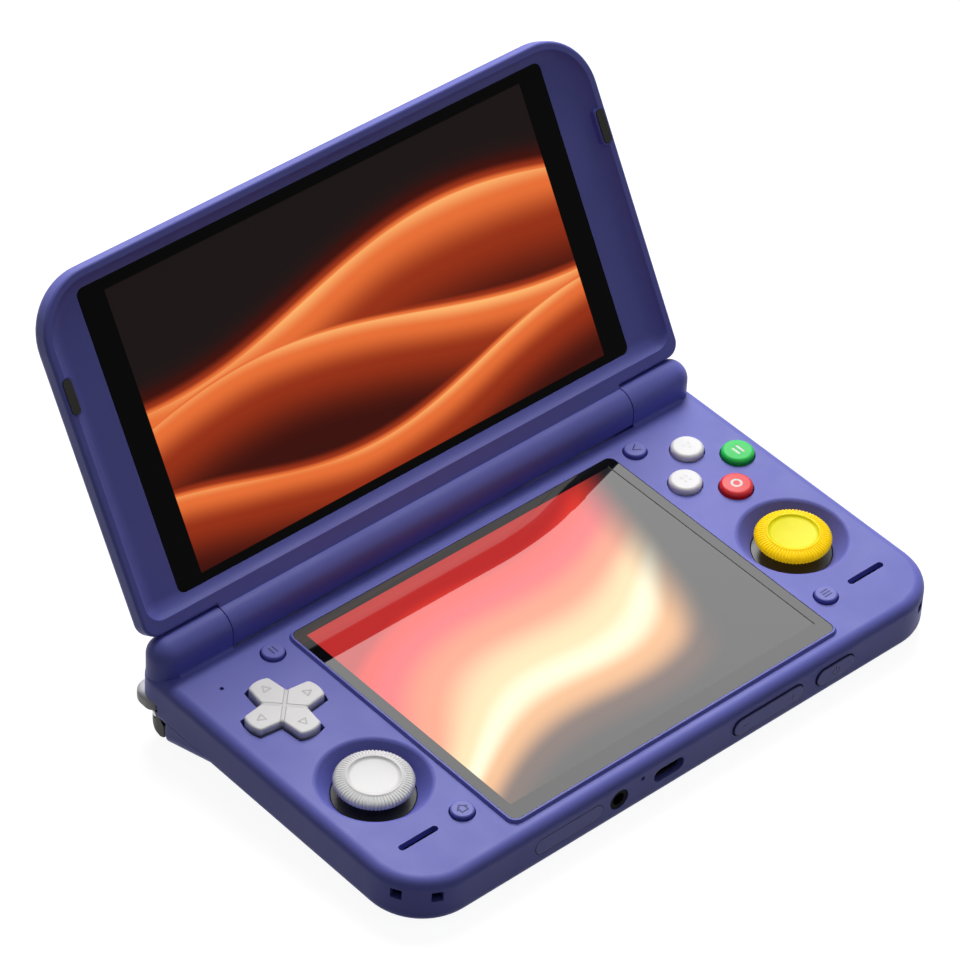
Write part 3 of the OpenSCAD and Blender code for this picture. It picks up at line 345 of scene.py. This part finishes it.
def lower_art(g):
    """A wavy slope of colour from red at the rear to cream, then dark at the front right."""
    across = g.dot(g.coord, (1, 0, 0))
    along = g.math("SUBTRACT", g.dot(g.coord, (0, 1, 0)), FRONT_Y + LOWER_MIDDLE)
    half_w, half_h = LOWER_HALF
    active, seam = panel_masks(g, across, along, half_w, half_h)
    u = g.math("MULTIPLY", across, 1 / half_w)
    v = g.math("MULTIPLY_ADD", along, 0.5 / half_h, 0.5)
    slope = g.math("ADD", g.math("MULTIPLY", u, -0.24), v)
    wave = g.math("MULTIPLY", g.math("SINE", g.math("MULTIPLY_ADD", u, 3.1, 0.4)), 0.10)
    ripple = g.math("MULTIPLY", g.math("SINE", g.math("MULTIPLY_ADD", slope, 7.5, g.math("MULTIPLY", u, 2.1))), 0.05)
    value = g.math("ADD", slope, g.math("ADD", wave, ripple))
    colour = g.ramp(value, [(0.06, (0.0, 0.0, 0.0)), (0.20, (0.08, 0.025, 0.008)), (0.33, (0.75, 0.36, 0.12)),
                            (0.41, (0.98, 0.86, 0.56)), (0.47, (0.92, 0.62, 0.30)), (0.60, (0.80, 0.22, 0.09)),
                            (0.76, (0.78, 0.05, 0.06)), (0.86, (0.76, 0.03, 0.015)), (0.95, (0.50, 0.012, 0.010))])
    fade = g.spread(g.math("MULTIPLY_ADD", v, -0.35, u), 0.30, 0.62, 1.0, 0.0, smooth=True)
    colour = g.mix(fade, (0, 0, 0), colour)
    return colour, active, seam


# ---------------------------------------------------------------- finishes
INDIGO = (0.155, 0.165, 0.575)
CREAM = (0.88, 0.88, 0.88)

indigo = moulded("moulded_indigo", INDIGO, rough=0.46, grain=0.018)
inner_black = moulded("moulded_black", (0.012, 0.012, 0.013), rough=0.42, grain=0.01)
socket_black = moulded("socket_black", (0.006, 0.006, 0.007), rough=0.6, grain=0.01, specular=0.04)
well_black = moulded("well_black", (0.030, 0.032, 0.030), rough=0.36, grain=0.01, specular=0.42)
soft_black = rubber("soft_black", (0.016, 0.016, 0.014))
steel = metal("stamped_steel", (0.55, 0.55, 0.57), 0.32)
dark_steel = metal("blackened_steel", (0.05, 0.05, 0.055), 0.4)
brass = metal("turned_brass", (0.72, 0.50, 0.22), 0.28)
aluminium = metal("extruded_aluminium", (0.75, 0.76, 0.78), 0.35)
solder_mask = board("solder_mask")
pouch = moulded("pouch_cell", (0.035, 0.04, 0.05), rough=0.5, grain=0.05)
film = moulded("flexible_circuit", (0.32, 0.13, 0.02), rough=0.35, grain=0.01)
panel = moulded("panel_back", (0.02, 0.02, 0.024), rough=0.25, grain=0.004)
upper_screen = screen("upper_screen", upper_art, 0.03, 0.05, (0.0, 0.0, 0.0))
lower_screen = screen("lower_screen", lower_art, 0.15, 0.004, (0.012, 0.012, 0.012))

X, Y, Z = (1, 0, 0), (0, 1, 0), (0, 0, 1)


def key_material(name, colour, centre, draw, right=X, up=Y, rough=0.4, mark_colour=None, depth=0.12, width=0.15,
                 specular=0.2, grain=0.012, bleed=0.0, channel=False, depths=(1, 1, 1)):
    """Moulded plastic with a symbol drawn about a centre on the key's face."""
    return moulded(name, colour, rough=rough, grain=grain, marks=((centre, right, up), draw),
                   mark_colour=mark_colour, mark_depth=depth, mark_width=width, specular=specular, bleed=bleed,
                   channel=channel, depths=depths)


def dots(*places):
    def draw(art):
        for place in places:
            art.dot(place)
    return draw


def bars(*places):
    def draw(art):
        for x in places:
            art.line((x, -1.2), (x, 1.2))
    return draw


def circle(art):
    art.ring((0, 0), 1.25)


def chevron(art):
    art.path((0.9, 1.2), (-0.9, 0), (0.9, -1.2))


def two_bars(art):
    art.line((-0.6, -1.1), (-0.6, 1.1))
    art.line((0.6, -1.1), (0.6, 1.1))


def house(art):
    art.path((-1.4, 0.1), (0, 1.3), (1.4, 0.1))
    art.path((-0.95, 0.3), (-0.95, -1.0), (0.95, -1.0), (0.95, 0.3))


def lines(art):
    for y in (-0.9, 0, 0.9):
        art.line((-1.1, y), (1.1, y))


# Painted shade: a dark engraved line round each front key, just inside its edge, stands for the shadow in the gap
# round it. In millimetres: its radius, and half its length
KEY_SHADE_LINE_R = 2.42
CARD_SHADE_LINE = 10.93
VOLUME_SHADE_LINE = 11.73
POWER_SHADE_LINE = 6.33


def card_edge_shade(art):
    art.pill(CARD_SHADE_LINE, KEY_SHADE_LINE_R)


def power(art):
    art.pill(POWER_SHADE_LINE, KEY_SHADE_LINE_R)
    art.arc((0, 0), 1.15, 125, 415, 9)
    art.line((0, 0.3), (0, 1.5))


def plus_minus(art):
    art.pill(VOLUME_SHADE_LINE, KEY_SHADE_LINE_R)
    art.line((-8.9, 0), (-7.1, 0))
    art.line((7.1, 0), (8.9, 0))
    art.line((8, -0.9), (8, 0.9))


def arrows(art):
    for turn in range(4):
        spin = Matrix.Rotation(turn * math.pi / 2, 2)
        tip, left, right = (spin @ Vector(p) for p in ((0, 8.5), (-1.1, 6.6), (1.1, 6.6)))
        art.path(tuple(tip), tuple(left), tuple(right), tuple(tip))


def face_centre(dx, dy):
    return (COLUMN_X + dx * FACE_PITCH, PAD_Y + dy * FACE_PITCH, 0)


finish_of = {
    "base_top_shell": indigo, "knuckle_tops": indigo, "base_bottom_shell": indigo,
    "lid_front_shell": indigo, "lid_back_cover": indigo,
    "card_door": key_material("key_card", INDIGO, (CARD_X, 0, PORT_Z), card_edge_shade, up=Z, width=0.16),
    "power_button": key_material("key_power", INDIGO, (POWER_X, 0, PORT_Z), power, up=Z, width=0.16),
    "volume_rocker": key_material("key_volume", INDIGO, (VOLUME_X, 0, PORT_Z), plus_minus, up=Z, width=0.16),
    "system_button_back_left": key_material("key_back_left", INDIGO, (-SYSTEM_X, SYSTEM_Y["back"], 0), two_bars),
    "system_button_back_right": key_material("key_back_right", INDIGO, (SYSTEM_X, SYSTEM_Y["back"], 0), chevron),
    "system_button_front_left": key_material("key_front_left", INDIGO, (-SYSTEM_X, SYSTEM_Y["front"], 0), house),
    "system_button_front_right": key_material("key_front_right", INDIGO, (SYSTEM_X, SYSTEM_Y["front"], 0), lines),
    "face_button_back": key_material("key_back", CREAM, face_centre(0, 1), dots((-0.9, 0.7), (0.9, 0.7), (0, -0.8)),
                                     rough=0.3, mark_colour=(0.83, 0.83, 0.83), width=0.42, depth=0.05, bleed=0.6),
    "face_button_left": key_material("key_left", CREAM, face_centre(-1, 0),
                                     dots((-0.8, 0.8), (0.8, 0.8), (-0.8, -0.8), (0.8, -0.8)),
                                     rough=0.3, mark_colour=(0.83, 0.83, 0.83), width=0.42, depth=0.05, bleed=0.6),
    "face_button_right": key_material("key_right", (0.018, 0.72, 0.13), face_centre(1, 0), bars(-0.75, 0.75),
                                      rough=0.42, specular=0.2, mark_colour=(0.85, 0.95, 0.88), width=0.34,
                                      bleed=1.0, depths=(0.3, 1.6, 0.6)),
    "face_button_front": key_material("key_front", (0.92, 0.010, 0.018), face_centre(0, -1), circle,
                                      rough=0.42, specular=0.3, mark_colour=(0.95, 0.8, 0.8), width=0.34,
                                      bleed=1.0, depths=(1.6, 0.2, 0.2)),
    "direction_pad": key_material("key_pad", (0.87, 0.87, 0.87), (-COLUMN_X, PAD_Y, 0), arrows, rough=0.36,
                                  mark_colour=(0.66, 0.66, 0.66), depth=-0.08, width=0.16, bleed=0.5, channel=True),
    "bumper_left": moulded("moulded_bumper", (0.85, 0.85, 0.86), rough=0.35, grain=0.01),
    "upper_glass": upper_screen, "lower_glass": lower_screen,
    "upper_display": panel, "lower_display": panel,
    "heat_sink": aluminium, "hinge_bushes": brass, "battery": pouch, "display_ribbon": film,
    "base_screws": dark_steel, "lid_screws": dark_steel,
}
finish_of["bumper_right"] = finish_of["bumper_left"]
for name in ("card_reader", "stick_yoke_left", "stick_yoke_right", "pad_bracket", "pad_pivot",
             "shoulder_pins", "trigger_springs", "hinge_shafts"):
    finish_of[name] = steel
for name in ("main_board", "port_board", "key_boards", "front_key_board", "shoulder_boards", "lid_board"):
    finish_of[name] = solder_mask
for name in ("rubber_feet", "lid_pads", "face_membrane"):
    finish_of[name] = soft_black
for name in ("stick_housing_left", "stick_housing_right", "stick_rocker_left", "stick_rocker_right"):
    finish_of[name] = well_black
finish_of["headphone_socket"] = socket_black
for name, node in NODES.items():
    material = finish_of.get(name, inner_black)
    node.data.materials.clear()
    node.data.materials.append(material)


# ---------------------------------------------------------------- direction pad and stick caps
def loft(name, rings, material, place):
    """Joins rings of points, given from below upwards, into one closed skin with smooth sides."""
    mesh = bmesh.new()
    loops = [[mesh.verts.new(p) for p in ring] for ring in rings]
    count = len(loops[0])
    for low, high in zip(loops, loops[1:]):
        for k in range(count):
            n = (k + 1) % count
            mesh.faces.new((low[k], low[n], high[n], high[k]))
    mesh.faces.new(loops[-1])
    mesh.faces.new(loops[0][::-1])
    for face in mesh.faces:
        face.smooth = len(face.verts) == 4
    data = bpy.data.meshes.new(name)
    mesh.to_mesh(data)
    mesh.free()
    data.transform(Matrix.Translation(place) @ Matrix.Scale(MM, 4))
    thing = bpy.data.objects.new(name, data)
    bpy.context.scene.collection.objects.link(thing)
    thing.data.materials.append(material)
    return thing


def pad_outline():
    """Plan of the direction pad, anticlockwise from the inner corner on the right."""
    root, side, tip, bulge, soft = 4.01, 3.35, 10.1, 0.9, 0.9
    arm = []
    steps = 8
    shoulder = tip + bulge * (1 - ((side - soft) / side) ** 2)
    for i in range(6):
        arm.append((root + (side - root) * i / 6, root + (tip - soft - root) * i / 6))
    for i in range(5):
        t = i / 4
        arm.append((side * (1 - t * t) + (side - soft) * t * t,
                    (tip - soft) * (1 - t) ** 2 + 2 * t * (1 - t) * (tip + 0.1) + t * t * shoulder))
    for i in range(1, steps):
        x = (side - soft) * (1 - i / steps)
        arm.append((x, tip + bulge * (1 - (x / side) ** 2)))
    arm += [(0.0, tip + bulge)] + [(-x, y) for x, y in arm[:0:-1]]
    return [tuple(Matrix.Rotation(math.pi / 2 * turn, 2) @ Vector(p)) for turn in range(4) for p in arm]


def inset(points, distance):
    """Moves every point of an anticlockwise outline inwards."""
    moved = []
    for k, p in enumerate(points):
        before, after = Vector(points[k - 1]), Vector(points[(k + 1) % len(points)])
        a, b = (Vector(p) - before).normalized(), (after - Vector(p)).normalized()
        na, nb = Vector((-a.y, a.x)), Vector((-b.y, b.x))
        moved.append(tuple(Vector(p) + (na + nb) * (distance / (1 + na.dot(nb)))))
    return moved


def soft_pad():
    """The direction pad with rounded upper edges, in place of the CAD's plain one."""
    outline = pad_outline()
    top, soft = 1.9, 0.6
    rings = [[(x, y, -2.9) for x, y in outline], [(x, y, top - soft - 0.02) for x, y in outline]]
    for i in range(8):
        t = math.pi / 2 * i / 7
        z = top - soft + soft * math.sin(t)
        rings.append([(x, y, z) for x, y in inset(outline, soft * (1 - math.cos(t)))])
    return loft("soft_pad", rings, finish_of["direction_pad"], (-COLUMN_X, PAD_Y, DECK_Z))


pad = soft_pad()
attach(pad, "direction_pad")
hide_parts("direction_pad")


# Knurled rim of a cap: middle and half width of its half round, in millimetres
RIM_R = 7.4
RIM_HALF = 2.7
RIM_Z = -0.2
RIM_RISE = 1.5
KNURL_DEPTH = 0.46
DISH_RINGS = 12


def cap_profile():
    """Section of a cap from the middle of its dish to its underside: radius, height, knurl share."""
    points = [(6.35 * i / 9, 0.72 + 0.42 * (i / 9) ** 2, 0.0) for i in range(10)]
    points += [(6.5, 1.3, 0.0), (6.62, 1.48, 0.0), (6.78, 1.56, 0.0), (6.95, 1.5, 0.0), (7.08, 1.34, 0.0)]
    for i in range(17):
        t = math.pi / 2 - math.pi * i / 16
        share = max(0.0, min(1.0, (i + 0.6) / 2.0)) * max(0.0, min(1.0, (16.2 - i) / 2.0))
        points.append((RIM_R + RIM_HALF * math.cos(t), RIM_Z + RIM_RISE * math.sin(t), share))
    points += [(r, -1.7, 0.0) for r in (6.6, 5.0, 3.4, 1.9)]
    return points


def stick_cap(name, side, material, dish, ribs=66, steps=8):
    """A cap with a dished top and fine knurls round its rim. Each rib has a number of steps."""
    count = ribs * steps
    mesh = bmesh.new()
    rings = []
    for r, z, share in cap_profile():
        if r < 1e-6:
            rings.append([mesh.verts.new((0, 0, z))])
            continue
        ring = []
        lean = (r - RIM_R) / RIM_HALF
        for k in range(count):
            turn = 2 * math.pi * k / count
            cut = KNURL_DEPTH * share * (1 - abs(math.sin(math.pi * k / steps)) ** 0.8)
            radius = r - cut * lean
            height = z - cut * (1 - lean) * (z > RIM_Z)
            ring.append(mesh.verts.new((radius * math.cos(turn), radius * math.sin(turn), height)))
        rings.append(ring)
    for place, (inner, outer) in enumerate(zip(rings, rings[1:])):
        for k in range(count):
            n = (k + 1) % count
            if len(inner) == 1:
                face = mesh.faces.new((inner[0], outer[k], outer[n]))
            else:
                face = mesh.faces.new((inner[k], outer[k], outer[n], inner[n]))
            face.material_index = int(place < DISH_RINGS)
    mesh.faces.new(rings[-1])
    bmesh.ops.recalc_face_normals(mesh, faces=mesh.faces)
    for face in mesh.faces:
        face.smooth = True
    data = bpy.data.meshes.new(name)
    mesh.to_mesh(data)
    mesh.free()
    data.transform(Matrix.Translation((side * STICK_X, STICK_Y, DECK_Z)) @ Matrix.Scale(MM, 4))
    cap = bpy.data.objects.new(name, data)
    bpy.context.scene.collection.objects.link(cap)
    cap.data.materials.append(material)
    cap.data.materials.append(dish)
    return cap


def cap_plastic(name, colour, sheen, bleed, depths, glow=0.0):
    """Smooth plastic of a stick cap. Glow is painted light: the surface gives out its own colour, so the yellow one
    looks lit even on its shaded ribs.
    """
    return moulded(name, colour, rough=0.36, grain=0.01, specular=0.3, bleed=bleed, sheen=sheen, depths=depths,
                   glow=glow)


white_cap = cap_plastic("cap_white", (0.87, 0.87, 0.87), (1, 1, 1), 0.35, (1, 1, 1))
# The yellow cap's glow of 0.28 is painted light, brightening its shaded rim and ribs.
yellow_cap_painted_glow = cap_plastic("cap_yellow", (1.0, 0.62, 0.004), (1, 0.9, 0.1), 0.6, (2.0, 1.4, 0.3), 0.28)
# Painted highlight: the yellow cap's dish gets a paler yellow than its rim, as its lit top looks.
yellow_dish_painted_highlight = cap_plastic("cap_yellow_dish", (1.0, 0.86, 0.004), (1, 0.95, 0.2), 0.5, (1.5, 1.4, 0.3))
for word, side, skin, dish, slot in (("left", -1, white_cap, white_cap, "white"),
                                     ("right", 1, yellow_cap_painted_glow, yellow_dish_painted_highlight, "yellow")):
    cap = stick_cap("knurled_cap_" + word, side, skin, dish)
    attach(cap, "stick_cap_" + word)
    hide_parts("stick_cap_" + word)


# ---------------------------------------------------------------- studio
def area(name, place, aim, size, strength, colour=(1, 1, 1)):
    """A soft box of even brightness. Strength is its radiance."""
    lamp = bpy.data.lights.new(name, "AREA")
    lamp.shape = "RECTANGLE"
    lamp.size, lamp.size_y = size
    lamp.energy = strength * math.pi * size[0] * size[1]
    lamp.color = colour
    thing = bpy.data.objects.new(name, lamp)
    thing.location = place
    thing.rotation_euler = (Vector(aim) - Vector(place)).to_track_quat("-Z", "Y").to_euler()
    bpy.context.scene.collection.objects.link(thing)
    thing.visible_camera = False


area("key", (0.72, 0.86, 1.26), (0, 0, 0), (0.8, 1.05), 10.8)
area("top", (0.2, -0.2, 1.6), (0, 0, 0), (1.2, 1.2), 0.6)

g = Graph("paper_floor")
path = g.tree.nodes.new("ShaderNodeLightPath").outputs
reflected = g.math("MAXIMUM", path["Is Glossy Ray"], path["Is Transmission Ray"])
seen = g.math("MAXIMUM", path["Is Camera Ray"], reflected)
# The glow is seen but lights nothing. The paper's own grey adds the rest and carries the object's shadow.
lift = g.math("MULTIPLY", seen, 0.93)
paper = g.noise(220, 3, 0.6)
g.surface({"Base Color": g.mix(paper, (0.19, 0.19, 0.19), (0.21, 0.21, 0.21)),
           "Roughness": g.spread(paper, 0.3, 0.7, 0.85, 0.95), "Specular IOR Level": 0.1,
           "Normal": g.bump(paper, 0.02 * MM), "Emission Color": (1, 1, 1, 1), "Emission Strength": lift})
# The grips reach lower than the front feet, so the floor slopes under the console. It curves over
# BEND metres from BEND_Y forwards, and is level in front of that.
front_foot, rear_foot = Vector((0, -0.0422, -0.0012)), Vector((0, 0.0362, -0.0072))
slope = (rear_foot.z - front_foot.z) / (rear_foot.y - front_foot.y)
FLOOR_HALF = 3.0
FLOOR_GAP = 0.0001
BEND_Y = -0.055
BEND = 0.1
BEND_STEPS = 12


def floor_height(y):
    """Height of the floor, a hair below the feet."""
    past = min(max(BEND_Y - y, 0.0), BEND)
    run = max(y, BEND_Y) - front_foot.y - past + past * past / (2 * BEND)
    return front_foot.z - FLOOR_GAP + slope * run


slab = bmesh.new()
rows = [FLOOR_HALF] + [BEND_Y - BEND * i / BEND_STEPS for i in range(BEND_STEPS + 1)] + [-FLOOR_HALF]
edges = [[slab.verts.new((x, y, floor_height(y))) for x in (-FLOOR_HALF, FLOOR_HALF)] for y in rows]
for far, near in zip(edges, edges[1:]):
    slab.faces.new((near[0], near[1], far[1], far[0])).smooth = True
data = bpy.data.meshes.new("floor")
slab.to_mesh(data)
slab.free()
data.materials.append(g.material)
floor = bpy.data.objects.new("floor", data)
bpy.context.scene.collection.objects.link(floor)

world = bpy.data.worlds.new("studio")
bpy.context.scene.world = world
world.use_nodes = True
tree = world.node_tree
tree.nodes.clear()
back = tree.nodes.new("ShaderNodeBackground")
back.inputs["Color"].default_value = (1, 1, 1, 1)
ends = tree.nodes.new("ShaderNodeOutputWorld")
tree.links.new(back.outputs[0], ends.inputs[0])
ray = tree.nodes.new("ShaderNodeLightPath").outputs
# White where the camera, a reflection or clear plastic sees it, and a weak fill for all else
chain = ray["Is Camera Ray"]
for kind in ("Is Glossy Ray", "Is Transmission Ray"):
    larger = tree.nodes.new("ShaderNodeMath")
    larger.operation = "MAXIMUM"
    tree.links.new(chain, larger.inputs[0])
    tree.links.new(ray[kind], larger.inputs[1])
    chain = larger.outputs[0]
level = tree.nodes.new("ShaderNodeMapRange")
level.inputs["To Min"].default_value = 0.05
level.inputs["To Max"].default_value = 1.0
tree.links.new(chain, level.inputs["Value"])
tree.links.new(level.outputs[0], back.inputs["Strength"])

# Camera fitted to the photograph: focal length in pixels, place, and its three directions
FOCAL_PX = 5052.8
PHOTO_W = 960
camera = bpy.data.cameras.new("camera")
eye = bpy.data.objects.new("camera", camera)
bpy.context.scene.collection.objects.link(eye)
right = Vector((0.75046839, -0.65964739, 0.04077393))
down = Vector((-0.41163414, -0.51479252, -0.75202792))
ahead = Vector((0.51706337, 0.54758924, -0.6578689))
turn = Matrix((right, -down, -ahead)).transposed().to_4x4()
eye.matrix_world = Matrix.Translation((-0.6505, -0.6614, 0.8697)) @ turn
camera.sensor_width = 36
camera.lens = camera.sensor_width * FOCAL_PX / PHOTO_W
camera.clip_start = 0.05
camera.clip_end = 20
bpy.context.scene.camera = eye
bpy.context.scene.view_settings.view_transform = "Standard"
